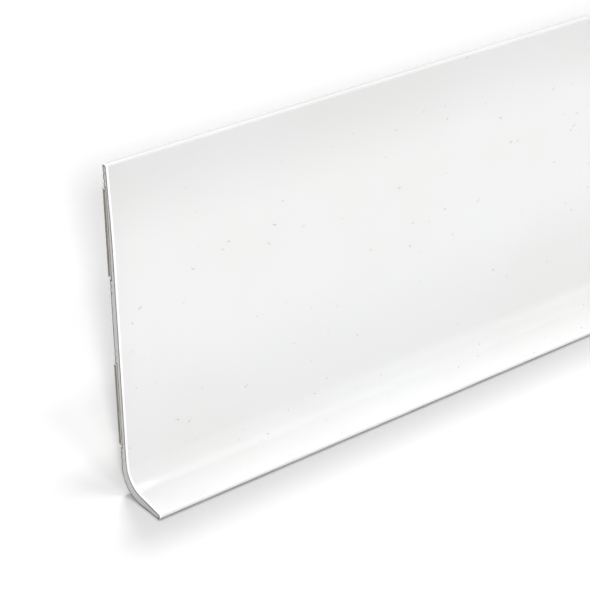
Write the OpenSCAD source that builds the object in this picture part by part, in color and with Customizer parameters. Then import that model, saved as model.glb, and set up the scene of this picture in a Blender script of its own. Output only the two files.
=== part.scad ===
// Vinyl cove base: a skirting strip with a coved toe, stuck to the wall by two
// foam tapes whose release liners are still on.
// X runs along the strip, from its middle. Y = 0 is the wall and the room is on -Y.
// Z = 0 is the floor. Sections are drawn with Y across and Z up, then run along X.

/* [Strip] */
// Length of the strip as it is sold
strip_length = 1219.2; // [300:0.1:2400]
// Height from the floor to the top edge
strip_height = 101.6; // [84:0.1:152.4]
// Thickness of the wall leg
leg_t = 3; // [2.5:0.1:4]
// Thickness of the wall leg at its top edge
top_t = 2; // [1.6:0.1:2.5]
// Height of the band under the top edge in which the front thins
top_taper_h = 22; // [10:0.5:30]

/* [Toe] */
// Reach of the toe's upper edge from the wall
toe_reach = 19; // [15.5:0.1:26]
// Thickness of the toe at its tip
toe_tip_t = 2.1; // [1.4:0.1:3]
// Fall of the toe's upper face towards the tip, in degrees
toe_slope = 8; // [0:0.5:12]
// How far the tip's lower edge sits behind its upper edge
tip_undercut = 0.6; // [0:0.1:1]
// Radius of the cove on the room side
cove_r = 7; // [5:0.1:8.5]
// Radius of the heel on the wall side
heel_r = 8.5; // [6:0.1:10]

/* [Keying grooves] */
// Depth of each groove in the back
groove_depth = 0.35; // [0.1:0.05:0.6]
// Width of each groove at the back face
groove_w = 0.8; // [0.4:0.1:1.2]
// Distance from one groove to the next
groove_pitch = 2.2; // [1.4:0.1:4]
// Grooves on each side of a tape recess
grooves_by_tape = 2; // [1:1:2]

/* [Tapes] */
// Width of each foam tape
tape_w = 25.4; // [19:0.1:30]
// Thickness of the foam core
foam_t = 0.8; // [0.4:0.05:1.2]
// Thickness of each coat of adhesive on the foam
coat_t = 0.08; // [0.05:0.01:0.15]
// Depth of the recess that a tape sits in
recess_depth = 0.7; // [0.3:0.05:0.9]
// Gap between a tape's edge and the side of its recess
recess_gap = 0.5; // [0.2:0.1:1]
// Height of the land above the upper recess and of the one above the heel
land_h = 7; // [5.5:0.1:9]

/* [Release liners] */
// Thickness of each liner
liner_t = 0.12; // [0.08:0.01:0.2]
// How far a liner stands past each edge of its tape
liner_over = 0.4; // [0:0.1:0.4]
// Length of the end of each liner that is lifted to start the peel
peel_end_l = 70; // [30:1:120]

/* [Hidden] */
$fn = 96;

// Centre of the cove's arc: tangent to the front of the leg and to the toe's upper face.
cove_y = -leg_t - cove_r;
cove_z = toe_tip_t + (cove_y + toe_reach) * tan(toe_slope) + cove_r / cos(toe_slope);
// Where the arc meets the toe's upper face.
cove_end_y = cove_y + cove_r * sin(toe_slope);
cove_end_z = cove_z - cove_r * cos(toe_slope);
// The toe flexes about the line where the cove leaves the front of the leg.
flex_z = cove_z;

recess_w = tape_w + 2 * recess_gap;
upper_tape_z = strip_height - land_h - recess_w / 2;
lower_tape_z = heel_r + land_h + recess_w / 2;
// Cutters stand this far outside the face that they cut.
cut_over = 1;

// Faces of a tape's layers, counted from the floor of the recess towards the wall.
bond_y = -recess_depth;
foam_y = bond_y + coat_t;
wall_coat_y = foam_y + foam_t;
liner_y = wall_coat_y + coat_t;
// Where the lifted end of a liner begins.
crease_x = strip_length / 2 - peel_end_l;

// Runs a section, drawn as (Y, Z), along the strip from x = from to x = to.
module run(from, to) {
    translate([(from + to) / 2, 0, 0])
        rotate([90, 0, 90])
            linear_extrude(height = to - from, center = true)
                children();
}

module full_run() {
    run(-strip_length / 2, strip_length / 2) children();
}

module heel_corner() {
    difference() {
        translate([-heel_r, -cut_over]) square([heel_r + cut_over, heel_r + cut_over]);
        translate([-heel_r, heel_r]) circle(r = heel_r);
    }
}

module plain_section() {
    difference() {
        polygon([
            [0, strip_height],
            [-top_t, strip_height],
            [-leg_t, strip_height - top_taper_h],
            [-leg_t, cove_z],
            [cove_end_y, cove_end_z],
            [-toe_reach, toe_tip_t],
            [-toe_reach + tip_undercut, 0],
            [0, 0]
        ]);
        translate([cove_y, cove_z]) circle(r = cove_r);
        heel_corner();
    }
}

// Everything below the line about which the toe flexes.
module toe_side() {
    translate([-toe_reach - cut_over, -cut_over])
        square([toe_reach + 2 * cut_over, flex_z + cut_over]);
}

module groove(z) {
    polygon([
        [0, z - groove_w / 2],
        [-groove_depth, z],
        [0, z + groove_w / 2],
        [cut_over, z + groove_w / 2],
        [cut_over, z - groove_w / 2]
    ]);
}

module recess(z) {
    translate([-recess_depth, z - recess_w / 2])
        square([recess_depth + cut_over, recess_w]);
}

module grooves_beside(z) {
    for (side = [-1, 1], i = [1:grooves_by_tape])
        groove(z + side * (recess_w / 2 + i * groove_pitch));
}

// One layer of a tape: bottom face at y, thickness t, width w, centred at height z.
module layer(y, t, w, z) {
    translate([y, z - w / 2]) square([t, w]);
}

module wall_leg() {
    color("white")
        full_run()
            difference() {
                plain_section();
                toe_side();
                for (z = [upper_tape_z, lower_tape_z]) {
                    recess(z);
                    grooves_beside(z);
                }
            }
}

module toe() {
    color("whitesmoke")
        full_run()
            intersection() {
                plain_section();
                toe_side();
            }
}

module bond_coat(z) {
    color("lightyellow") full_run() layer(bond_y, coat_t, tape_w, z);
}

module foam(z) {
    color("gainsboro") full_run() layer(foam_y, foam_t, tape_w, z);
}

module wall_coat(z) {
    color("lightyellow") full_run() layer(wall_coat_y, coat_t, tape_w, z);
}

module liner(z) {
    color("burlywood")
        run(-strip_length / 2, crease_x)
            layer(liner_y, liner_t, tape_w + 2 * liner_over, z);
}

module liner_end(z) {
    color("tan")
        run(crease_x, strip_length / 2)
            layer(liner_y, liner_t, tape_w + 2 * liner_over, z);
}

wall_leg();
toe();
bond_coat(upper_tape_z);  // upper_bond_coat
foam(upper_tape_z);  // upper_foam
wall_coat(upper_tape_z);  // upper_wall_coat
liner(upper_tape_z);  // upper_liner
liner_end(upper_tape_z);  // upper_liner_end
bond_coat(lower_tape_z);  // lower_bond_coat
foam(lower_tape_z);  // lower_foam
wall_coat(lower_tape_z);  // lower_wall_coat
liner(lower_tape_z);  // lower_liner
liner_end(lower_tape_z);  // lower_liner_end
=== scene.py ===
"""Looks of a self-adhesive vinyl cove base strip: the vinyl, its foam tapes and their liners.

Every length is in metres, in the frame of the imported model: X along the strip, Y = 0 the wall
with the room on -Y, and Z = 0 the floor.
"""

import logging
import math
from collections.abc import Callable
from dataclasses import dataclass
from enum import Enum
from functools import cache

import bmesh
import bpy
from mathutils import Matrix, Vector


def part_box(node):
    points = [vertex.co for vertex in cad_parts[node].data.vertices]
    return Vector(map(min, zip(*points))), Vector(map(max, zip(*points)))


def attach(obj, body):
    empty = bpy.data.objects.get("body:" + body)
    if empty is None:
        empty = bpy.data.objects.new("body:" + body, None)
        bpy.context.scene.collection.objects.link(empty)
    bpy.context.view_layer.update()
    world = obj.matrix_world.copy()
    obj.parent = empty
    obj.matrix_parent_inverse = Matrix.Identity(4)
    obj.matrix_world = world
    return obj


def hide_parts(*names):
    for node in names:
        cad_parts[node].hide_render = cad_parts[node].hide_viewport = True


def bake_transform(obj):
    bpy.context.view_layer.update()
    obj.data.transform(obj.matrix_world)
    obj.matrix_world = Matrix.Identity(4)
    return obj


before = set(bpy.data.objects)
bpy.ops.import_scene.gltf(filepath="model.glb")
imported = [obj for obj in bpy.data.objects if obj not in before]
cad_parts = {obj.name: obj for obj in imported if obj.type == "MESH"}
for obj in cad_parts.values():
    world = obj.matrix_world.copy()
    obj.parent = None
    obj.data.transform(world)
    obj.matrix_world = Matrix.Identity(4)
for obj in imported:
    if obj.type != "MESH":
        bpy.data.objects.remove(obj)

log = logging.getLogger("cove_base")

MM = 0.001
# Points closer than NEAR count as being in one place, and those closer than MERGE become one.
NEAR = 0.01 * MM
MERGE = NEAR / 20
REST_PLACE = "rest_place"
END_RIM = "end_rim"
X_AXIS = Vector((1, 0, 0))
Y_AXIS = Vector((0, 1, 0))
Z_AXIS = Vector((0, 0, 1))
# A face looks along an axis when its normal's share of that axis is above this.
FACING = 0.5
# Most of a noise field's values lie between these two.
MOST = (0.3, 0.7)

Test = Callable[[Vector], bool]
Part = bmesh.types.BMVert | bmesh.types.BMEdge | bmesh.types.BMFace
Colour = tuple[float, float, float, float]
Span = tuple[float, float]
Socket = bpy.types.NodeSocket


class Geometry(Enum):
    """What a selection picks."""

    VERTICES = "VERT"
    EDGES = "EDGE"
    FACES = "FACE"


class TapePlace(Enum):
    """The two tapes, by the prefix of their nodes' names."""

    UPPER = "upper"
    LOWER = "lower"


class Slot(Enum):
    """The record's material slots."""

    VINYL = "vinyl"
    FOAM = "foam"
    ADHESIVE = "adhesive"
    LINER = "liner_paper"


# ---------------- shaping


def middle(part: Part) -> Vector:
    """Gives the middle of a vertex, an edge or a face.

    Args:
        part: the vertex, edge or face.

    Returns:
        Its middle.
    """
    if isinstance(part, bmesh.types.BMVert):
        return part.co
    if isinstance(part, bmesh.types.BMEdge):
        return (part.verts[0].co + part.verts[1].co) / 2
    return part.calc_center_median()


class Workpiece:
    """A mesh object that is shaped with edit-mode operators."""

    def __init__(self, name: str, factors: tuple[float, float, float], centre: Vector) -> None:
        """Takes the active object, a fresh primitive one metre wide, and opens it at its full size.

        Args:
            name: the name of the finished piece.
            factors: the scale along X, Y and Z.
            centre: the primitive's middle, which stays.
        """
        self.obj = bpy.context.active_object
        self.obj.name = name
        self.obj.data.name = name
        bpy.ops.object.transform_apply(location=True, rotation=True, scale=True)
        bpy.ops.object.mode_set(mode="EDIT")
        bpy.ops.transform.resize(value=factors, center_override=centre)

    @classmethod
    def plate(cls, name: str, low: Vector, high: Vector) -> "Workpiece":
        """Adds a plane across Y and Z, facing -X.

        Args:
            name: the name of the finished piece.
            low: the corner with the lowest Y and Z.
            high: the corner with the highest Y and Z.

        Returns:
            The workpiece, open for editing.
        """
        bpy.ops.object.select_all(action="DESELECT")
        middle = (low + high) / 2
        bpy.ops.mesh.primitive_plane_add(size=1, location=middle, rotation=(0, -math.pi / 2, 0))
        return cls(name, (1, high.y - low.y, high.z - low.z), middle)

    @classmethod
    def block(cls, name: str, low: Vector, high: Vector) -> "Workpiece":
        """Adds a box.

        Args:
            name: the name of the finished piece.
            low: its lowest corner.
            high: its highest corner.

        Returns:
            The workpiece, open for editing.
        """
        bpy.ops.object.select_all(action="DESELECT")
        middle = (low + high) / 2
        bpy.ops.mesh.primitive_cube_add(size=1, location=middle)
        return cls(name, tuple(high - low), middle)

    def pick(self, kind: Geometry, test: Callable[[Part], bool]) -> None:
        """Selects only the vertices, edges or faces that pass a test.

        Args:
            kind: what to pick.
            test: takes a vertex, an edge or a face and says whether it belongs.

        Raises:
            ValueError: if nothing passes.
        """
        bpy.ops.mesh.select_mode(type=kind.value)
        mesh = bmesh.from_edit_mesh(self.obj.data)
        for part in (*mesh.verts, *mesh.edges, *mesh.faces):
            part.select_set(False)
        parts = {Geometry.VERTICES: mesh.verts, Geometry.EDGES: mesh.edges, Geometry.FACES: mesh.faces}
        chosen = [part for part in parts[kind] if test(part)]
        if not chosen:
            raise ValueError(f"{self.obj.name}: no {kind.name.lower()} to select")
        for part in chosen:
            part.select_set(True)
        mesh.select_flush_mode()
        bmesh.update_edit_mesh(self.obj.data)

    def select(self, kind: Geometry, test: Test) -> None:
        """Selects only the vertices, edges or faces whose middle passes a test."""
        self.pick(kind, lambda part: test(middle(part)))

    def select_all(self) -> None:
        """Selects everything."""
        bpy.ops.mesh.select_all(action="SELECT")

    def move(self, by: Vector) -> None:
        """Moves the selection."""
        bpy.ops.transform.translate(value=by)

    def extrude(self, by: Vector) -> None:
        """Extrudes the selected faces or edges and moves what is new."""
        bpy.ops.mesh.extrude_region_move(TRANSFORM_OT_translate={"value": by})

    def cut(self, at: Vector, normal: Vector) -> None:
        """Cuts the selection along a plane and keeps both sides."""
        bpy.ops.mesh.bisect(plane_co=at, plane_no=normal)

    def cut_all(self, at: Vector, normal: Vector) -> None:
        """Cuts the whole piece along a plane and keeps both sides."""
        self.select_all()
        self.cut(at, normal)

    def round_corner(self, at: Vector, offset: float, segments: int) -> None:
        """Rounds one corner of a flat face.

        Args:
            at: where the corner is.
            offset: how far from the corner the round starts.
            segments: how many straight steps the round has.
        """
        self.select(Geometry.VERTICES, lambda c: (c - at).length < NEAR)
        bpy.ops.mesh.bevel(affect="VERTICES", offset=offset, segments=segments)

    def close(self) -> None:
        """Merges doubles, turns every face outwards and leaves edit mode."""
        self.select_all()
        bpy.ops.mesh.remove_doubles(threshold=MERGE)
        bpy.ops.mesh.normals_make_consistent(inside=False)
        bpy.ops.object.mode_set(mode="OBJECT")

    def apply(self, kind: str, **settings: object) -> None:
        """Adds a modifier with these settings and applies it, in object mode.

        Args:
            kind: Blender's name for the modifier.
            **settings: its properties.
        """
        modifier = self.obj.modifiers.new(kind.title(), kind)
        for key, value in settings.items():
            setattr(modifier, key, value)
        bpy.ops.object.modifier_apply(modifier=modifier.name)

    def group(self, name: str, weight: Callable[[Vector], float]) -> str:
        """Makes a vertex group, in object mode.

        Args:
            name: the group's name.
            weight: takes a vertex's place and gives its weight.

        Returns:
            The group's name.
        """
        group = self.obj.vertex_groups.new(name=name)
        for vertex in self.obj.data.vertices:
            group.add([vertex.index], weight(vertex.co), "REPLACE")
        return name

    def keep_rest_places(self) -> None:
        """Stores each vertex's place as an attribute, so that a pattern stays put when the piece bends."""
        mesh = self.obj.data
        places = [number for vertex in mesh.vertices for number in vertex.co]
        attribute = mesh.attributes.new(REST_PLACE, "FLOAT_VECTOR", "POINT")
        attribute.data.foreach_set("vector", places)


# ---------------- finishes


class Graph:
    """A material's node tree, with short calls to add and join nodes."""

    def __init__(self, name: str) -> None:
        """Starts a material that holds only a shader and an output.

        Args:
            name: the material's name.
        """
        self.material = bpy.data.materials.new(name)
        self.material.use_nodes = True
        self.tree = self.material.node_tree
        self.shader = self.tree.nodes["Principled BSDF"]

    def add(self, kind: str, inputs: dict | None = None, **settings: object) -> bpy.types.Node:
        """Adds a node.

        Args:
            kind: the node's type, without the leading "ShaderNode".
            inputs: a value or an output socket for each named or numbered input.
            **settings: the node's own properties.

        Returns:
            The node.
        """
        node = self.tree.nodes.new("ShaderNode" + kind)
        for key, value in settings.items():
            setattr(node, key, value)
        self.feed(node, inputs or {})
        return node

    def feed(self, node: bpy.types.Node, inputs: dict) -> None:
        """Sets or joins a node's inputs.

        Args:
            node: the node.
            inputs: a value or an output socket for each named or numbered input.
        """
        for key, value in inputs.items():
            if isinstance(value, Socket):
                self.tree.links.new(value, node.inputs[key])
            else:
                node.inputs[key].default_value = value

    def places(self, scale: tuple[float, float, float] = (1, 1, 1), turn: float = 0) -> Socket:
        """Gives the rest place in millimetres, stretched and turned for one pattern.

        Args:
            scale: how often the pattern repeats along each axis, against once a millimetre.
            turn: a turn about Y, in radians, made before the stretch.

        Returns:
            The vector socket.
        """
        rest = self.add("Attribute", attribute_type="GEOMETRY", attribute_name=REST_PLACE)
        turned = self.add("Mapping", {"Vector": rest.outputs["Vector"], "Rotation": (0, turn, 0)})
        stretch = tuple(s / MM for s in scale)
        return self.add("Mapping", {"Vector": turned.outputs[0], "Scale": stretch}).outputs[0]

    def noise(self, vector: Socket, size: float, detail: float = 2) -> Socket:
        """Gives a soft random field.

        Args:
            vector: where to read it, in millimetres.
            size: how wide its blotches are, in millimetres.
            detail: how many finer octaves it has.

        Returns:
            The field's socket, from 0 to 1.
        """
        node = self.add("TexNoise", {"Vector": vector, "Scale": 1 / size, "Detail": detail})
        return node.outputs["Fac"]

    def ramp(self, value: Socket, low: float, high: float,
             from_value: float = 0, to_value: float = 1) -> Socket:
        """Maps a range of a field smoothly on to another.

        Args:
            value: the field.
            low: the field's value that gives from_value.
            high: the field's value that gives to_value.
            from_value: the result at low and below.
            to_value: the result at high and above.

        Returns:
            The mapped field's socket.
        """
        node = self.add("MapRange", {"Value": value, "From Min": low, "From Max": high,
                                     "To Min": from_value, "To Max": to_value},
                        interpolation_type="SMOOTHSTEP")
        return node.outputs[0]

    def combine(self, operation: str, *fields: Socket) -> Socket:
        """Works out a sum, a product or another function of one or two fields."""
        return self.add("Math", dict(enumerate(fields)), operation=operation).outputs[0]

    def times(self, first: Socket, second: Socket) -> Socket:
        """Multiplies two fields."""
        return self.combine("MULTIPLY", first, second)

    def blend(self, share: Socket, first: object, second: object) -> Socket:
        """Mixes two colours.

        Args:
            share: how much of the second colour shows, from 0 to 1.
            first: a colour or a colour socket.
            second: a colour or a colour socket.

        Returns:
            The mixed colour's socket.
        """
        node = self.add("Mix", data_type="RGBA")
        self.feed(node, {"Factor": share, 6: first, 7: second})
        return node.outputs[2]

    def bump(self, layers: list[tuple[Socket, float]]) -> Socket:
        """Stacks reliefs.

        Args:
            layers: each field with its height in millimetres.

        Returns:
            The normal's socket.
        """
        normal = None
        for field_socket, height in layers:
            inputs = {"Height": field_socket, "Distance": height * MM, "Strength": 1.0}
            if normal is not None:
                inputs["Normal"] = normal
            normal = self.add("Bump", inputs).outputs[0]
        return normal


def grey(value: float, warmth: float = 0) -> Colour:
    """Gives a near-grey colour.

    Args:
        value: its linear value.
        warmth: how much more red and less blue it has.

    Returns:
        The colour with full alpha.
    """
    return (value * (1 + warmth), value, value * (1 - warmth), 1)


class Finish:
    """A surface's finish. The sizes and heights of its patterns are in millimetres."""

    name: str

    @cache
    def material(self) -> bpy.types.Material:
        """Builds the material at the first call and gives the same one after that.

        Returns:
            The material.
        """
        g = Graph(self.name)
        self.paint(g)
        return g.material


@dataclass(frozen=True)
class Marks:
    """One kind of small mark that is strewn over a surface.

    Spacing and size are in millimetres, share is how many of the places hold a mark, stretch is a
    mark's length against its width, and turn is in degrees.
    """

    spacing: float
    size: float
    share: float
    stretch: float = 1.0
    turn: float = 0.0

    def field(self, g: Graph) -> Socket:
        """Gives a field that is 1 inside the marks and 0 elsewhere.

        Args:
            g: the material's graph.

        Returns:
            The field's socket.
        """
        here = g.places((1 / self.stretch, 1, 1), math.radians(self.turn))
        cells = g.add("TexVoronoi", {"Vector": here, "Scale": 1 / self.spacing}, feature="F1")
        reach = self.size / self.spacing
        ragged = g.ramp(g.noise(g.places(), size=self.size * 0.8, detail=1), 0.2, 0.8, -reach / 2, reach / 2)
        edge = g.combine("ADD", cells.outputs["Distance"], ragged)
        inside = g.ramp(edge, reach * 0.7, reach * 0.35)
        lot = g.add("SeparateColor", {0: cells.outputs["Color"]})
        chosen = g.ramp(lot.outputs[0], 1 - self.share, 1 - self.share * 0.6)
        return g.times(inside, chosen)


VINYL_IOR = 1.53
VINYL_MARKS = (
    Marks(spacing=3.2, size=0.42, share=0.16),
    Marks(spacing=3.0, size=0.36, share=0.24, stretch=2.6, turn=-28),
    Marks(spacing=3.4, size=0.36, share=0.24, stretch=3.0, turn=32),
)


@dataclass(frozen=True)
class VinylFinish(Finish):
    """Satin white extruded vinyl, with draw lines, a faint orange peel and a few small marks.

    Its tone carries painted shade: darker below the top edge, and in a faint band above the cove.
    A paler band beside each sawn end is a painted highlight, and a dark line along the lower edge
    of the toe's tip is a painted contact shadow.
    The strip's own sizes and the reach of its glow are in metres. The spans are in millimetres.
    """

    half_length: float
    height: float
    taper_h: float
    toe_reach: float
    name: str = "satin_white_vinyl"
    white: float = 0.72
    tone_depth: float = 0.018
    # Painted highlight: a paler band beside each sawn end.
    end_highlight_tone: float = 0.96
    # Painted contact shadow: a dark line along the lower edge of the toe's tip.
    contact_shadow_tone: float = 0.16
    # Painted shade: the tone is darkened below the top edge and in a faint band above the cove.
    top_shade_depth: float = 0.13
    top_shade_reach: float = 1.3
    pale_edge: Span = (0.05, 0.25)
    low_shade_depth: float = 0.045
    low_shade_top: Span = (55, 22)
    low_shade_foot: Span = (2.5, 6.5)
    end_highlight_band: Span = (0.7, 0.4)
    contact_shadow_top: Span = (1.2, 0.7)
    contact_shadow_back: Span = (2.4, 1.6)
    roughness: float = 0.36
    mark_roughness: float = 0.25
    cloud_size: float = 55
    handled_size: float = 9
    line_size: float = 1.1
    line_height: float = 0.008
    peel_size: float = 1.4
    peel_height: float = 0.012
    mark_depth: float = 0.17
    mark_height: float = -0.03
    glow: float = 0.06
    glow_reach: float = 1.5 * MM
    glow_by_colour: tuple[float, float, float] = (1.0, 0.95, 0.9)

    def paint(self, g: Graph) -> None:
        """Adds and joins the nodes.

        Args:
            g: the material's graph.
        """
        here = g.places()
        cloud = g.noise(here, size=self.cloud_size, detail=3)
        lines = g.noise(g.places((0.01, 1, 1)), size=self.line_size, detail=5)
        peel = g.noise(here, size=self.peel_size, detail=3)
        marks = self.marks(g)
        tone = g.blend(g.ramp(cloud, 0.35, 0.65),
                       grey(self.white - self.tone_depth, 0.004), grey(self.white, -0.003))
        # Painted shade darkens the tone below the top edge and just above the cove.
        shaded = g.blend(self.painted_shade(g), tone, grey(self.white * 0.5, 0.012))
        # Painted highlight: the tone is paler beside the sawn ends.
        highlighted = g.blend(self.end_highlight(g), shaded, grey(self.end_highlight_tone, 0.012))
        # Painted contact shadow: dark along the lower edge of the toe's tip.
        shadowed = g.blend(self.contact_shadow(g), highlighted, grey(self.contact_shadow_tone, 0.05))
        marked = grey(self.white * (1 - 2 * self.mark_depth), 0.02)
        handled = g.ramp(g.noise(here, size=self.handled_size, detail=4), *MOST,
                         self.roughness - 0.05, self.roughness + 0.06)
        g.feed(g.shader, {
            "Base Color": g.blend(marks, shadowed, marked),
            "Roughness": g.combine("ADD", handled, g.ramp(marks, 0, 1, 0, self.mark_roughness)),
            "Normal": g.bump([(peel, self.peel_height), (lines, self.line_height),
                              (marks, self.mark_height)]),
            "IOR": VINYL_IOR,
            "Subsurface Weight": self.glow,
            "Subsurface Radius": self.glow_by_colour,
            "Subsurface Scale": self.glow_reach,
        })

    def marks(self, g: Graph) -> Socket:
        """Gives a field of all the small marks together.

        Args:
            g: the material's graph.

        Returns:
            The field's socket.
        """
        together = VINYL_MARKS[0].field(g)
        for marks in VINYL_MARKS[1:]:
            together = g.combine("MAXIMUM", together, marks.field(g))
        return together

    def axis(self, g: Graph, number: int) -> Socket:
        """Gives the place along X, Y or Z, in millimetres, for the number 0, 1 or 2."""
        return g.add("SeparateXYZ", {0: g.places()}).outputs[number]

    def painted_shade(self, g: Graph) -> Socket:
        """Gives the painted shade: how much the tone is darkened below the top edge and in a faint band above
        the cove.

        Args:
            g: the material's graph.

        Returns:
            The field's socket.
        """
        height = self.axis(g, 2)
        top = self.height / MM
        loss = g.ramp(height, top - self.top_shade_reach * self.taper_h / MM, top, 0, 2 * self.top_shade_depth)
        shaded = g.times(loss, g.ramp(height, *(top - below for below in self.pale_edge)))
        low_shade = g.times(g.ramp(height, *self.low_shade_top, 0, 2 * self.low_shade_depth), g.ramp(height, *self.low_shade_foot))
        return g.combine("ADD", shaded, low_shade)

    def end_highlight(self, g: Graph) -> Socket:
        """Gives the painted highlight: a paler band beside each sawn end.

        Args:
            g: the material's graph.

        Returns:
            The field's socket.
        """
        along = g.combine("ABSOLUTE", self.axis(g, 0))
        end = self.half_length / MM
        ragged = g.ramp(g.noise(g.places(), size=4, detail=3), *MOST, 0.75, 1)
        return g.times(g.ramp(along, *(end - inward for inward in self.end_highlight_band)), ragged)

    def contact_shadow(self, g: Graph) -> Socket:
        """Gives the painted contact shadow: a thin dark line along the lower edge of the toe's tip.

        Args:
            g: the material's graph.

        Returns:
            The field's socket.
        """
        tip = -self.toe_reach / MM
        low = g.ramp(self.axis(g, 2), *self.contact_shadow_top)
        out = g.ramp(self.axis(g, 1), *(tip + inward for inward in self.contact_shadow_back))
        ragged = g.ramp(g.noise(g.places((0.3, 1, 1)), size=3, detail=4), 0.25, 0.65, 0.55, 1)
        return g.times(g.times(low, out), ragged)


@dataclass(frozen=True)
class CutVinylFinish(Finish):
    """The sawn end of the strip: matt and finely scored; its grey is painted shade, much darker at the rim.
    """

    name: str = "cut_vinyl_end"
    # Painted shade: this grey, below the vinyl's white, darkens the whole sawn end.
    value: float = 0.66
    rim_value: float = 0.05
    rim_reach: float = 0.28
    roughness: float = 0.62
    score_size: float = 0.28
    score_height: float = 0.03
    grain_size: float = 0.35
    grain_height: float = 0.02

    def paint(self, g: Graph) -> None:
        """Adds and joins the nodes.

        Args:
            g: the material's graph.
        """
        here = g.places()
        scores = g.noise(g.places((1, 1, 0.12)), size=self.score_size, detail=4)
        grain = g.noise(here, size=self.grain_size, detail=3)
        # Painted shade: the end's greys all fall below the vinyl's white.
        tone = g.blend(g.ramp(scores, *MOST), grey(self.value * 0.82, 0.01), grey(self.value, 0.01))
        mottled = g.blend(g.ramp(grain, 0.4, 0.75, 0, 0.5), tone, grey(self.value * 0.7, 0.03))
        rim = g.add("Attribute", attribute_type="GEOMETRY", attribute_name=END_RIM).outputs["Fac"]
        patches = g.ramp(g.noise(here, size=2.5, detail=3), 0.2, 0.6, 0.6, 1)
        uneven = g.times(g.ramp(rim, 0, self.rim_reach), patches)
        g.feed(g.shader, {
            "Base Color": g.blend(uneven, mottled, grey(self.rim_value, 0.02)),
            "Roughness": g.ramp(scores, *MOST, self.roughness - 0.1, self.roughness + 0.15),
            "Normal": g.bump([(scores, self.score_height), (grain, self.grain_height)]),
            "IOR": VINYL_IOR,
        })


@dataclass(frozen=True)
class FoamFinish(Finish):
    """Closed-cell polyethylene foam: white, matt, with a fine skin of cells."""

    name: str = "white_cell_foam"
    value: float = 0.72
    cells_per_mm: float = 3.2
    wall_height: float = -0.05
    grain_height: float = 0.03

    def paint(self, g: Graph) -> None:
        """Adds and joins the nodes.

        Args:
            g: the material's graph.
        """
        here = g.places()
        cells = g.add("TexVoronoi", {"Vector": here, "Scale": self.cells_per_mm}, feature="DISTANCE_TO_EDGE")
        walls = g.ramp(cells.outputs["Distance"], 0.02, 0.16)
        blotch = g.noise(here, size=8, detail=3)
        tone = g.blend(g.ramp(blotch, *MOST), grey(self.value * 0.93, 0.01), grey(self.value, 0.005))
        g.feed(g.shader, {
            "Base Color": g.blend(walls, grey(self.value * 1.06), tone),
            "Roughness": g.ramp(blotch, *MOST, 0.78, 0.92),
            "Normal": g.bump([(walls, self.wall_height),
                              (g.noise(here, size=0.5, detail=3), self.grain_height)]),
        })


@dataclass(frozen=True)
class AdhesiveFinish(Finish):
    """Clear acrylic adhesive over foam: pale, glossy, with the liner's faint print in it."""

    name: str = "clear_acrylic_adhesive"
    colour: Colour = (0.76, 0.70, 0.54, 1)
    paler: Colour = (0.78, 0.74, 0.62, 1)
    ior: float = 1.47
    pool_height: float = 0.05
    ridge_height: float = 0.015
    gloss: float = 0.5
    gloss_roughness: float = 0.12

    def paint(self, g: Graph) -> None:
        """Adds and joins the nodes.

        Args:
            g: the material's graph.
        """
        here = g.places()
        pools = g.noise(here, size=3.5, detail=4)
        slanted = g.places(turn=math.radians(45))
        ridges = g.add("TexWave", {"Vector": slanted, "Scale": 0.25, "Distortion": 1.2}, wave_type="BANDS")
        g.feed(g.shader, {
            "Base Color": g.blend(g.ramp(pools, 0.25, 0.75), self.colour, self.paler),
            "Roughness": g.ramp(pools, *MOST, 0.12, 0.30),
            "Normal": g.bump([(pools, self.pool_height), (ridges.outputs["Fac"], self.ridge_height)]),
            "IOR": self.ior,
            "Coat Weight": self.gloss,
            "Coat Roughness": self.gloss_roughness,
        })


class PaperSide(Enum):
    """The two faces of a release liner."""

    BACK = "glassine_back"
    RELEASE = "silicone_release_face"


@dataclass(frozen=True)
class LinerFinish(Finish):
    """Pale amber glassine release paper: calendered and faintly fibrous, slicker on its release face."""

    side: PaperSide
    amber: Colour = (0.62, 0.53, 0.31, 1)
    pale: Colour = (0.72, 0.65, 0.44, 1)
    fleck: Colour = (0.46, 0.37, 0.20, 1)
    release: Colour = (0.80, 0.76, 0.62, 1)
    back_roughness: Span = (0.36, 0.50)
    release_roughness: Span = (0.18, 0.28)
    fibre_height: float = 0.012
    cockle_height: float = 0.2

    @property
    def name(self) -> str:
        """The material's name."""
        return self.side.value

    def paint(self, g: Graph) -> None:
        """Adds and joins the nodes.

        Args:
            g: the material's graph.
        """
        here = g.places()
        lengthwise = g.noise(g.places((0.18, 1, 1), math.radians(4)), size=0.35, detail=4)
        crosswise = g.noise(g.places((1, 1, 0.25), math.radians(-30)), size=0.4, detail=3)
        cloud = g.noise(here, size=14, detail=4)
        tone = g.blend(g.ramp(lengthwise, 0.35, 0.7), self.amber, self.pale)
        uneven = g.blend(g.ramp(cloud, 0.3, 0.75, 0, 0.45), tone, self.pale)
        colour = g.blend(g.ramp(crosswise, 0.66, 0.74, 0, 0.45), uneven, self.fleck)
        rough = self.back_roughness
        if self.side is PaperSide.RELEASE:
            colour = g.blend(g.ramp(cloud, 0.2, 0.8, 0.45, 0.65), colour, self.release)
            rough = self.release_roughness
        g.feed(g.shader, {
            "Base Color": colour,
            "Roughness": g.ramp(cloud, *MOST, *rough),
            "Normal": g.bump([(lengthwise, self.fibre_height), (cloud, self.cockle_height)]),
        })


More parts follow.
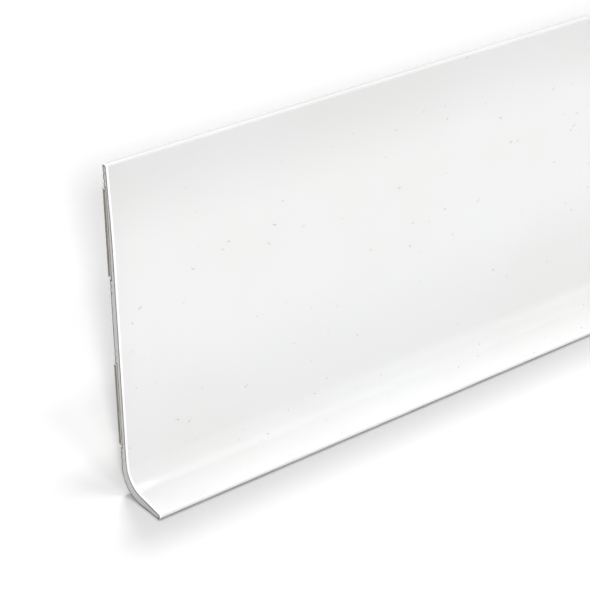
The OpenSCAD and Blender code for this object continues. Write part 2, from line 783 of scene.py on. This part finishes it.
@dataclass(frozen=True)
class CutTapeFinish(Finish):
    """The sawn end of a tape or a liner: tacky, and a dark grey-olive."""

    name: str = "dark_tape_end"
    # The end's dark grey-olive, in two tones.
    dark_tone: Colour = (0.13, 0.128, 0.11, 1)
    light_tone: Colour = (0.30, 0.298, 0.26, 1)

    def paint(self, g: Graph) -> None:
        """Adds and joins the nodes.

        Args:
            g: the material's graph.
        """
        specks = g.noise(g.places(), size=0.5, detail=4)
        g.feed(g.shader, {
            "Base Color": g.blend(g.ramp(specks, 0.35, 0.7), self.dark_tone, self.light_tone),
            "Roughness": g.ramp(specks, *MOST, 0.6, 0.85),
            "Normal": g.bump([(specks, 0.03)]),
        })


def dress(obj: bpy.types.Object, materials: list[bpy.types.Material],
          choose: Callable[[bpy.types.MeshPolygon], int] | None = None) -> None:
    """Gives a piece its materials.

    Args:
        obj: the piece.
        materials: its materials, in slot order.
        choose: takes a face and gives the number of its material; all take the first if left out.
    """
    obj.data.materials.clear()
    for material in materials:
        obj.data.materials.append(material)
    for face in obj.data.polygons:
        face.material_index = choose(face) if choose else 0


# ---------------- the vinyl


@dataclass(frozen=True)
class TapeSizes:
    """Where one tape lies, read from the frame."""

    place: TapePlace
    width: float
    middle_z: float
    bond_y: float
    recess_gap: float = 0.5 * MM

    @classmethod
    def from_frame(cls, place: TapePlace) -> "TapeSizes":
        """Reads a tape's place from its nodes.

        Args:
            place: which tape.

        Returns:
            Its sizes.
        """
        low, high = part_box(f"{place.value}_foam")
        bond_low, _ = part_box(f"{place.value}_bond_coat")
        return cls(place, high[2] - low[2], (low[2] + high[2]) / 2, bond_low[1])

    @property
    def recess_half(self) -> float:
        """Half the width of the recess that the tape sits in."""
        return self.width / 2 + self.recess_gap


@dataclass
class VinylStrip:
    """The extrusion: a tall leg, a cove and a toe, with recesses and keying grooves in the back."""

    tapes: list[TapeSizes]
    top_t: float = 2.0 * MM
    taper_h: float = 22 * MM
    taper_blend: float = 7 * MM
    cove_r: float = 7 * MM
    heel_r: float = 8.5 * MM
    toe_tip_t: float = 2.1 * MM
    toe_slope: float = math.radians(8)
    tip_undercut: float = 0.6 * MM
    cove_steps: int = 22
    bead_height: float = 0.09 * MM
    bead_rise: float = 1.2 * MM
    bead_steps: int = 6
    groove_depth: float = 0.35 * MM
    groove_w: float = 0.8 * MM
    groove_pitch: float = 2.2 * MM
    grooves_by_tape: int = 2
    heel_steps: int = 18
    taper_steps: int = 8
    hidden_round_steps: int = 4
    seen_round_steps: int = 6
    top_back_round: float = 0.7 * MM
    top_front_round: float = 0.75 * MM
    tip_top_round: float = 0.72 * MM
    tip_bottom_round: float = 1.1 * MM
    end_arris: float = 0.26 * MM
    arris_steps: int = 2
    end_rim: float = 0.42 * MM
    ring_step: float = 8 * MM
    wave: float = 0.16 * MM
    wave_length: float = 90 * MM
    wave_fade: float = 12 * MM
    smooth_angle: float = math.radians(32)
    flex_half: float = 3.2 * MM

    def __post_init__(self) -> None:
        """Reads the strip's outer sizes from the frame."""
        leg_low, leg_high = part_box("wall_leg")
        toe_low, toe_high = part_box("toe")
        self.low_x = leg_low[0]
        self.high_x = leg_high[0]
        self.height = leg_high[2]
        self.leg_t = leg_high[1] - leg_low[1]
        self.toe_reach = -toe_low[1]
        self.flex_z = toe_high[2]

    @property
    def inner_corner(self) -> Vector:
        """Where the front of the leg would meet the toe's upper face without the cove."""
        rise = (self.toe_reach - self.leg_t) * math.tan(self.toe_slope)
        return Vector((self.low_x, -self.leg_t, self.toe_tip_t + rise))

    def at(self, y: float, z: float) -> Vector:
        """Gives a point of the section at the low end of the strip."""
        return Vector((self.low_x, y, z))

    def build(self) -> bpy.types.Object:
        """Builds and dresses the strip, and stands it in place of the leg and the toe.

        Returns:
            The finished piece.
        """
        work = self.outline()
        self.round_section(work)
        self.work_back(work)
        self.run_out(work)
        self.finish_ends(work)
        work.close()
        self.flex_surface(work)
        bpy.ops.object.shade_smooth_by_angle(angle=self.smooth_angle)
        work.keep_rest_places()
        self.dress(work.obj)
        self.bind(work.obj)
        return work.obj

    def outline(self) -> Workpiece:
        """Makes the section with sharp corners, as one flat face.

        Returns:
            The workpiece, open for editing.
        """
        inner = self.inner_corner
        work = Workpiece.plate("vinyl_strip", inner, self.at(0, self.height))
        work.cut_all(self.at(0, self.height - self.taper_h), Z_AXIS)
        work.select(Geometry.VERTICES, lambda c: c.z > self.height - NEAR and c.y < -self.leg_t + NEAR)
        work.move(Y_AXIS * (self.leg_t - self.top_t))
        work.select(Geometry.EDGES, lambda c: c.z < inner.z + NEAR)
        work.extrude(-Z_AXIS * inner.z)
        work.select(Geometry.EDGES, lambda c: c.y < -self.leg_t + NEAR and c.z < inner.z - NEAR)
        work.extrude(-Y_AXIS * (self.toe_reach - self.leg_t))
        work.select(Geometry.VERTICES, lambda c: c.y < -self.toe_reach + NEAR and c.z > NEAR)
        work.move(Z_AXIS * (self.toe_tip_t - inner.z))
        work.select(Geometry.VERTICES, lambda c: c.y < -self.toe_reach + NEAR and c.z < NEAR)
        work.move(Y_AXIS * self.tip_undercut)
        work.select(Geometry.EDGES, self.inside_section)
        bpy.ops.mesh.dissolve_edges(use_verts=False)
        work.select(Geometry.VERTICES, lambda c: (c - self.at(0, inner.z)).length < NEAR
                    or (c - self.at(0, self.height - self.taper_h)).length < NEAR
                    or (c - self.at(-self.leg_t, 0)).length < NEAR)
        bpy.ops.mesh.dissolve_verts()
        return work

    def inside_section(self, middle: Vector) -> bool:
        """Says whether an edge lies inside the section and not on its outline.

        Args:
            middle: the edge's middle.

        Returns:
            True if it lies inside.
        """
        inner = self.inner_corner
        across_leg = -self.leg_t + NEAR < middle.y < -NEAR and NEAR < middle.z < self.height - NEAR
        down_corner = abs(middle.y + self.leg_t) < NEAR and middle.z < inner.z - NEAR
        return across_leg or down_corner

    def round_section(self, work: Workpiece) -> None:
        """Rounds the cove, the heel and the small corners of the section.

        Args:
            work: the section.
        """
        turn = math.pi / 2 - self.toe_slope
        work.round_corner(self.inner_corner, self.cove_r * math.tan(turn / 2), self.cove_steps)
        self.bead(work)
        work.round_corner(self.at(0, 0), self.heel_r, self.heel_steps)
        taper_foot = self.at(-self.leg_t, self.height - self.taper_h)
        work.round_corner(taper_foot, self.taper_blend, self.taper_steps)
        work.round_corner(self.at(0, self.height), self.top_back_round, self.hidden_round_steps)
        work.round_corner(self.at(-self.top_t, self.height), self.top_front_round, self.seen_round_steps)
        work.round_corner(self.at(-self.toe_reach, self.toe_tip_t), self.tip_top_round, self.seen_round_steps)
        under_tip = self.at(-self.toe_reach + self.tip_undercut, 0)
        work.round_corner(under_tip, self.tip_bottom_round, self.hidden_round_steps)

    def bead(self, work: Workpiece) -> None:
        """Raises the faint bead that the die leaves where the leg runs into the cove.

        It stands highest at the start of the cove's arc and dies away over its first steps.

        Args:
            work: the section.
        """
        work.cut_all(self.at(0, self.flex_z + self.bead_rise), Z_AXIS)
        step = (math.pi / 2 - self.toe_slope) / self.cove_steps
        for number in range(self.bead_steps):
            level = self.flex_z - self.cove_r * math.sin(number * step)
            work.select(Geometry.VERTICES,
                        lambda c: c.y < -self.leg_t / 2 and abs(c.z - level) < self.bead_height)
            work.move(-Y_AXIS * (self.bead_height * (1 - number / self.bead_steps)))

    def work_back(self, work: Workpiece) -> None:
        """Cuts the tape recesses and the keying grooves into the back of the section.

        Args:
            work: the section.
        """
        for tape in self.tapes:
            low, high = tape.middle_z - tape.recess_half, tape.middle_z + tape.recess_half
            for z in (low, high):
                work.cut_all(self.at(0, z), Z_AXIS)
            work.select(Geometry.FACES, lambda c: low < c.z < high)
            work.cut(self.at(tape.bond_y, 0), Y_AXIS)
            work.select(Geometry.FACES, lambda c: low < c.z < high and c.y > tape.bond_y)
            bpy.ops.mesh.delete(type="FACE")
            for side in (-1, 1):
                for number in range(1, self.grooves_by_tape + 1):
                    self.groove(work, tape.middle_z + side * (tape.recess_half + number * self.groove_pitch))

    def groove(self, work: Workpiece, z: float) -> None:
        """Cuts one V groove into the back of the section.

        Args:
            work: the section.
            z: the height of the groove's middle.
        """
        for level in (z - self.groove_w / 2, z, z + self.groove_w / 2):
            work.cut_all(self.at(0, level), Z_AXIS)
        work.select(Geometry.VERTICES, lambda c: c.y > -NEAR and abs(c.z - z) < NEAR)
        work.move(-Y_AXIS * self.groove_depth)

    def run_out(self, work: Workpiece) -> None:
        """Extrudes the section along the strip, one ring at a time.

        Args:
            work: the section.
        """
        rings = round((self.high_x - self.low_x) / self.ring_step)
        step = X_AXIS * ((self.high_x - self.low_x) / rings)
        work.select_all()
        for _ in range(rings):
            work.extrude(step)

    def finish_ends(self, work: Workpiece) -> None:
        """Breaks the arrises of both sawn ends and marks out the rim inside each.

        Args:
            work: the run-out strip.
        """
        for end_x in (self.low_x, self.high_x):
            work.select(Geometry.FACES, lambda c: abs(c.x - end_x) < NEAR)
            bpy.ops.mesh.region_to_loop()
            bpy.ops.mesh.bevel(affect="EDGES", offset=self.end_arris, segments=self.arris_steps)
            work.select(Geometry.FACES, lambda c: abs(c.x - end_x) < NEAR)
            bpy.ops.mesh.inset(thickness=self.end_rim, depth=0, use_even_offset=True)

    def flex_surface(self, work: Workpiece) -> None:
        """Gives the front of the leg the slight unevenness of flexible vinyl.

        Args:
            work: the closed strip, in object mode.
        """
        texture = bpy.data.textures.new("vinyl_wave", "CLOUDS")
        texture.noise_scale = self.wave_length
        texture.noise_depth = 1

        def weight(place: Vector) -> float:
            """Gives full weight on the front of the leg, fading out at its top edge and its cove.

            Args:
                place: a vertex's place.

            Returns:
                The weight, from 0 to 1.
            """
            if place.y > -self.top_t + NEAR:
                return 0.0
            from_cove = (place.z - self.flex_z) / self.wave_fade
            from_top = (self.height - place.z) / self.wave_fade
            return max(0.0, min(1.0, from_cove, from_top))

        group = work.group("front_skin", weight)
        work.apply("DISPLACE", texture=texture, texture_coords="LOCAL", direction="Y",
                   mid_level=0.5, strength=self.wave, vertex_group=group)

    def dress(self, obj: bpy.types.Object) -> None:
        """Dresses the strip in satin vinyl, with the cut finish on its ends.

        Args:
            obj: the strip.
        """
        self.mark_rims(obj.data)
        vinyl = VinylFinish(self.high_x, self.height, self.taper_h, self.toe_reach).material()
        dress(obj, [vinyl, CutVinylFinish().material()], lambda face: int(self.on_end(face)))

    def on_end(self, face: bpy.types.MeshPolygon) -> bool:
        """Says whether a face lies in one of the sawn ends."""
        return any(abs(face.center.x - end) < NEAR for end in (self.low_x, self.high_x))

    def mark_rims(self, mesh: bpy.types.Mesh) -> None:
        """Stores 1 along the outlines of the sawn ends and 0 elsewhere, as an attribute.

        Args:
            mesh: the strip's mesh.
        """
        on_ends = {corner for face in mesh.polygons if self.on_end(face) for corner in face.vertices}
        elsewhere = {corner for face in mesh.polygons if not self.on_end(face) for corner in face.vertices}
        rims = [float(number in on_ends and number in elsewhere) for number in range(len(mesh.vertices))]
        mesh.attributes.new(END_RIM, "FLOAT", "POINT").data.foreach_set("value", rims)

    def bind(self, obj: bpy.types.Object) -> None:
        """Stands the strip in place of the leg and the toe, hiding their parts, and bakes its transform.

        Args:
            obj: the strip.
        """
        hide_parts("wall_leg", "toe")
        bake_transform(obj)


# ---------------- the tapes


@dataclass
class FoamTape:
    """A double-sided foam tape: a foam core, a coat of adhesive on each face, and a release liner."""

    sizes: TapeSizes
    core_round: float = 0.1 * MM
    coat_round: float = 0.02 * MM
    round_steps: int = 2
    sharp_angle: float = math.radians(60)
    smooth_angle: float = math.radians(40)
    ring_step: float = 12 * MM
    liner_lift: float = 0.06 * MM
    fold_length: float = 12 * MM
    fold_rings: int = 16
    end_fineness: int = 3
    liner_rows: int = 6
    ripple_length: float = 34 * MM

    def node(self, part: str) -> str:
        """Gives the name of one of this tape's nodes."""
        return f"{self.sizes.place.value}_{part}"

    def build(self) -> list[bpy.types.Object]:
        """Builds every layer of the tape.

        Returns:
            The finished pieces.
        """
        core = self.layer("foam", self.core_round, FoamFinish().material())
        coats = [self.layer(part, self.coat_round, AdhesiveFinish().material())
                 for part in ("bond_coat", "wall_coat")]
        return [core, *coats, self.liner()]

    def layer(self, part: str, edge_round: float, material: bpy.types.Material) -> bpy.types.Object:
        """Builds the foam or a coat of adhesive over its node's place.

        Args:
            part: which layer.
            edge_round: the radius of its long edges.
            material: its finish.

        Returns:
            The finished piece.
        """
        node = self.node(part)
        low, high = (Vector(corner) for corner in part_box(node))
        work = Workpiece.block(f"{node}_layer", low, high)
        self.slice(work, low.x, high.x, self.ring_step)
        work.pick(Geometry.EDGES, lambda e: abs((e.verts[0].co - e.verts[1].co).x) > NEAR
                  and e.calc_face_angle(0) > self.sharp_angle)
        bpy.ops.mesh.bevel(affect="EDGES", offset=edge_round, segments=self.round_steps)
        work.close()
        bpy.ops.object.shade_smooth_by_angle(angle=self.smooth_angle)
        work.keep_rest_places()
        dress(work.obj, [material, CutTapeFinish().material()], lambda face: int(abs(face.normal.x) > FACING))
        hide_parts(node)
        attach(work.obj, "strip")
        return work.obj

    def slice(self, work: Workpiece, low_x: float, high_x: float, step: float) -> None:
        """Cuts a piece into rings along the strip.

        Args:
            work: the piece.
            low_x: where the rings start.
            high_x: where they end.
            step: about how long each ring is.
        """
        count = max(1, round((high_x - low_x) / step))
        for number in range(1, count):
            work.cut_all(X_AXIS * (low_x + (high_x - low_x) * number / count), X_AXIS)

    def liner(self) -> bpy.types.Object:
        """Builds the release liner as one sheet over its run and its lifted end.

        Returns:
            The finished piece.
        """
        low, run_end = (Vector(corner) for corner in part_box(self.node("liner")))
        _, high = (Vector(corner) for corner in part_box(self.node("liner_end")))
        crease = run_end.x
        work = Workpiece.block(self.node("release_liner"), low, high)
        for x in (crease, crease + self.fold_length):
            work.cut_all(X_AXIS * x, X_AXIS)
        self.slice(work, low.x, crease, self.ring_step)
        self.slice(work, crease, crease + self.fold_length, self.fold_length / self.fold_rings)
        self.slice(work, crease + self.fold_length, high.x, self.ring_step / self.end_fineness)
        for number in range(1, self.liner_rows):
            work.cut_all(Z_AXIS * (low.z + (high.z - low.z) * number / self.liner_rows), Z_AXIS)
        work.close()
        texture = bpy.data.textures.new(self.node("ripple"), "CLOUDS")
        texture.noise_scale = self.ripple_length
        work.apply("DISPLACE", texture=texture, texture_coords="LOCAL", direction="Y",
                   mid_level=0.0, strength=self.liner_lift)
        bpy.ops.object.shade_smooth_by_angle(angle=self.smooth_angle)
        work.keep_rest_places()
        sides = [LinerFinish(side).material() for side in (PaperSide.BACK, PaperSide.RELEASE)]
        dress(work.obj, [*sides, CutTapeFinish().material()],
              lambda face: 2 if abs(face.normal.x) > FACING else int(face.normal.y < -FACING))
        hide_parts(self.node("liner"), self.node("liner_end"))
        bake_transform(work.obj)
        return work.obj


# ---------------- the studio


def bearing(azimuth: float, elevation: float) -> Vector:
    """Gives the direction towards a place round the strip.

    Args:
        azimuth: its turn about Z, counted from the front towards +X, in degrees.
        elevation: its height above the floor, in degrees.

    Returns:
        The unit vector.
    """
    turn, rise = math.radians(azimuth), math.radians(elevation)
    return Vector((math.sin(turn) * math.cos(rise), -math.cos(turn) * math.cos(rise), math.sin(rise)))


@dataclass(frozen=True)
class FarLight:
    """A soft light so far off that it is even all along the strip, or one for the floor alone.

    Strength is in watts a square metre; width is how wide the light looks, in degrees.
    """

    name: str
    azimuth: float
    elevation: float
    strength: float
    width: float
    floor_only: bool = False
    distance: float = 3.0

    def hang(self, floor_set: bpy.types.Collection) -> None:
        """Adds the light.

        Args:
            floor_set: the collection that holds the floor alone.
        """
        data = bpy.data.lights.new(self.name, "SUN")
        data.energy = self.strength
        data.angle = math.radians(self.width)
        lamp = bpy.data.objects.new(self.name, data)
        away = bearing(self.azimuth, self.elevation)
        lamp.location = away * self.distance
        lamp.rotation_euler = away.to_track_quat("Z", "Y").to_euler()
        bpy.context.collection.objects.link(lamp)
        if self.floor_only:
            lamp.light_linking.receiver_collection = floor_set


FAR_LIGHTS = (
    FarLight("key", azimuth=-28, elevation=22.5, strength=1.52, width=5.7),
    FarLight("overhead", azimuth=52, elevation=77, strength=1.3, width=13),
    FarLight("zenith", azimuth=165, elevation=83, strength=1.3, width=17),
    FarLight("side", azimuth=60, elevation=12, strength=0.95, width=17),
    FarLight("back_fill", azimuth=180, elevation=15, strength=0.95, width=23),
    FarLight("floor_low", azimuth=-28.3, elevation=25, strength=9.5, width=5, floor_only=True),
    FarLight("floor_middle", azimuth=-22, elevation=40, strength=1.4, width=6, floor_only=True),
    FarLight("floor_high", azimuth=-2, elevation=62, strength=1.9, width=8, floor_only=True),
    FarLight("floor_side", azimuth=42, elevation=79, strength=2.5, width=9, floor_only=True),
    FarLight("floor_back", azimuth=150, elevation=73, strength=5.2, width=9, floor_only=True),
)


@dataclass
class Studio:
    """A plain pale floor, soft lights and the camera.

    The camera's azimuth and elevation are in degrees and its lens is in millimetres.
    """

    low_x: float
    leg_t: float
    aim_along: float = 59.6 * MM
    aim_height: float = 44.3 * MM
    distance: float = 562.6 * MM
    azimuth: float = -37.08
    elevation: float = 28.05
    roll: float = math.radians(-0.85)
    lens: float = 119.67
    clip_start: float = 10 * MM
    floor_half: float = 20.0
    floor_white: float = 0.173
    floor_roughness: float = 0.9
    floor_sheen: float = 0.2
    sky: float = 0.20
    backdrop: float = 1.05

    def build(self) -> None:
        """Sets the floor, the lights, the surroundings and the camera."""
        floor_set = self.floor()
        self.surroundings()
        for light in FAR_LIGHTS:
            light.hang(floor_set)
        self.camera()
        bpy.context.scene.view_settings.view_transform = "Standard"

    def floor(self) -> bpy.types.Collection:
        """Lays the floor.

        Returns:
            A collection that holds the floor alone.
        """
        bpy.ops.object.select_all(action="DESELECT")
        bpy.ops.mesh.primitive_plane_add(size=2 * self.floor_half)
        floor = bpy.context.active_object
        floor.name = "floor"
        g = Graph("pale_floor")
        g.feed(g.shader, {"Base Color": grey(self.floor_white), "Roughness": self.floor_roughness,
                          "Specular IOR Level": self.floor_sheen})
        dress(floor, [g.material])
        floor_set = bpy.data.collections.new("floor_set")
        floor_set.objects.link(floor)
        return floor_set

    def surroundings(self) -> None:
        """Sets an even pale light all round, and a white backdrop beyond the floor."""
        world = bpy.data.worlds.new("pale_room")
        bpy.context.scene.world = world
        world.use_nodes = True
        tree = world.node_tree
        sky = tree.nodes["Background"]
        backdrop = tree.nodes.new("ShaderNodeBackground")
        for background, strength in ((sky, self.sky), (backdrop, self.backdrop)):
            background.inputs["Color"].default_value = (1, 1, 1, 1)
            background.inputs["Strength"].default_value = strength
        seen = tree.nodes.new("ShaderNodeLightPath").outputs["Is Camera Ray"]
        either = tree.nodes.new("ShaderNodeMixShader")
        tree.links.new(seen, either.inputs[0])
        tree.links.new(sky.outputs[0], either.inputs[1])
        tree.links.new(backdrop.outputs[0], either.inputs[2])
        tree.links.new(either.outputs[0], tree.nodes["World Output"].inputs["Surface"])

    def camera(self) -> None:
        """Stands the camera in front of the low end of the strip."""
        aim = Vector((self.low_x + self.aim_along, -self.leg_t, self.aim_height))
        back = bearing(self.azimuth, self.elevation)
        data = bpy.data.cameras.new("camera")
        data.lens = self.lens
        data.clip_start = self.clip_start
        camera = bpy.data.objects.new("camera", data)
        turn = (-back).to_track_quat("-Z", "Y").to_matrix() @ Matrix.Rotation(self.roll, 3, "Z")
        camera.matrix_world = Matrix.Translation(aim + back * self.distance) @ turn.to_4x4()
        bpy.context.collection.objects.link(camera)
        bpy.context.scene.camera = camera


def main() -> None:
    """Builds the strip, its tapes and the studio."""
    logging.basicConfig(level=logging.INFO, format="%(name)s: %(message)s")
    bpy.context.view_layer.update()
    tapes = [TapeSizes.from_frame(place) for place in TapePlace]
    strip = VinylStrip(tapes)
    pieces = [strip.build()]
    for sizes in tapes:
        pieces += FoamTape(sizes).build()
    for piece in pieces:
        log.info("%s: %d faces", piece.name, len(piece.data.polygons))
    Studio(strip.low_x, strip.leg_t).build()


if __name__ == "__main__":
    main()
